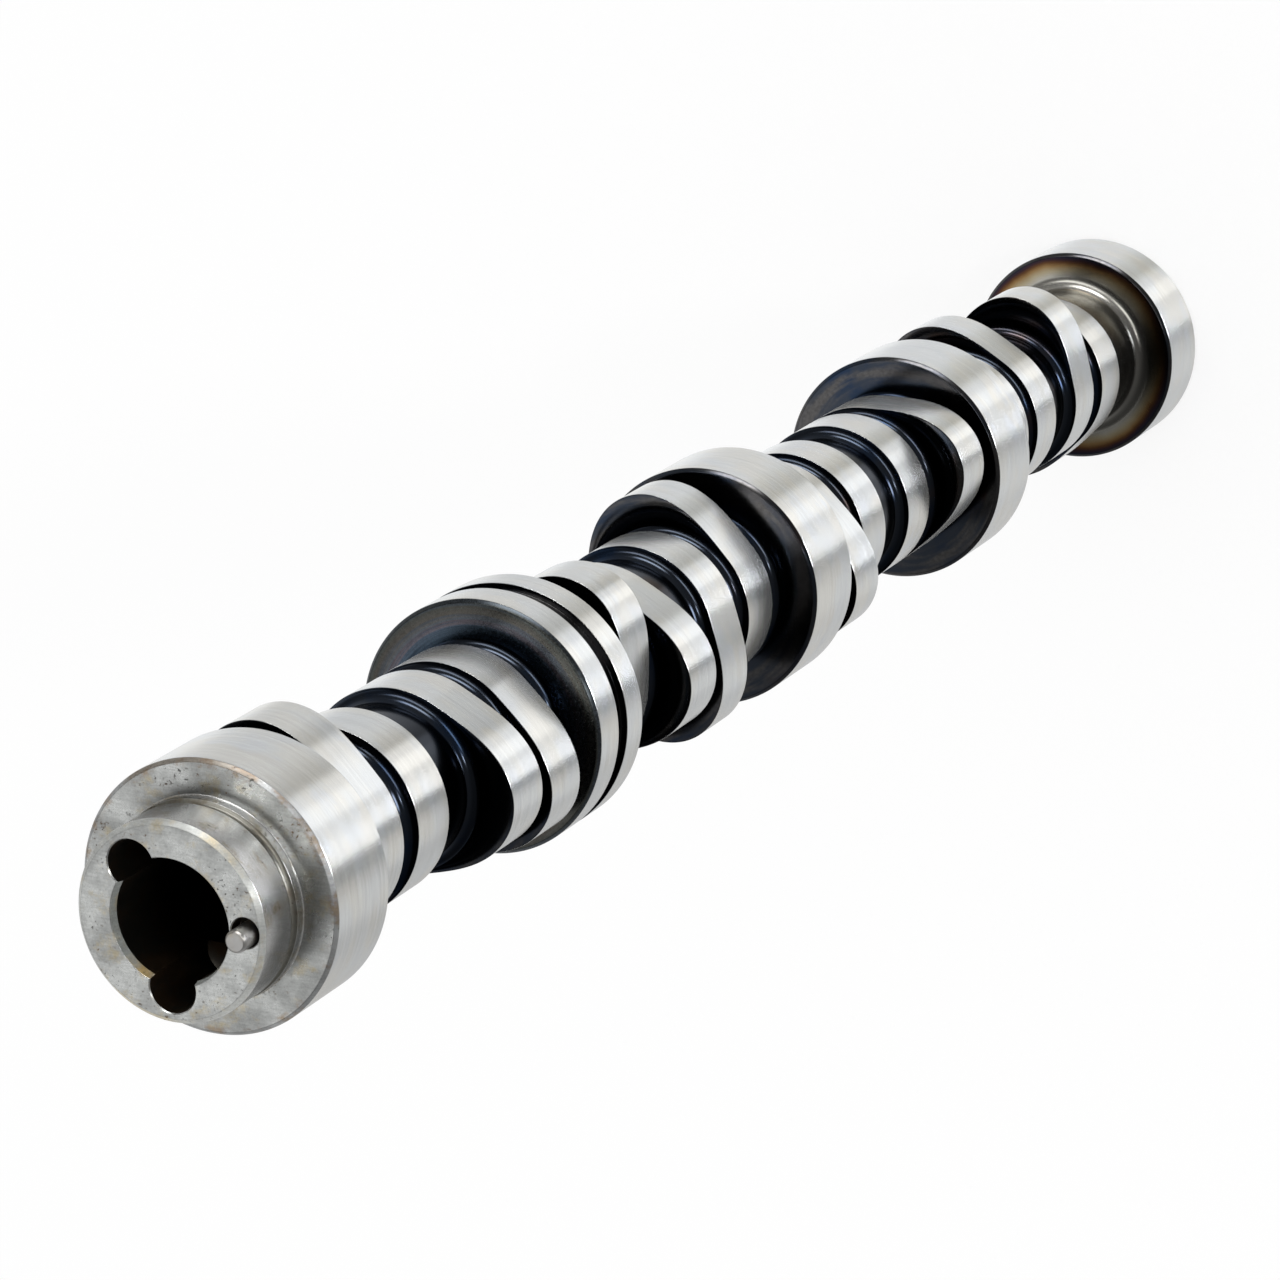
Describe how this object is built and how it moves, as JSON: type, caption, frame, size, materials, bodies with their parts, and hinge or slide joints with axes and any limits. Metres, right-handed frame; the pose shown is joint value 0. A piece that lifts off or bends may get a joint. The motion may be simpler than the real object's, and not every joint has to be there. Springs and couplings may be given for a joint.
{
  "type": "camshaft",
  "caption": "Ground steel camshaft for a vee engine, with bearing journals, cam lobes, a stepped nose with a locating pin and a front bore.",
  "frame": {"origin": "centre of the shaft's flat rear face, which the part stands on", "axes": "+Z runs along the shaft towards its nose, +X points from the shaft's axis to the dowel pin"},
  "size_m": [0.055, 0.055, 0.4984],
  "materials": {
    "ground_steel": "ground and heat treated",
    "pin_steel": "polished"
  },
  "bodies": {
    "root": {"camshaft": "ground_steel", "dowel_pin": "pin_steel"}
  },
  "joints": []
}
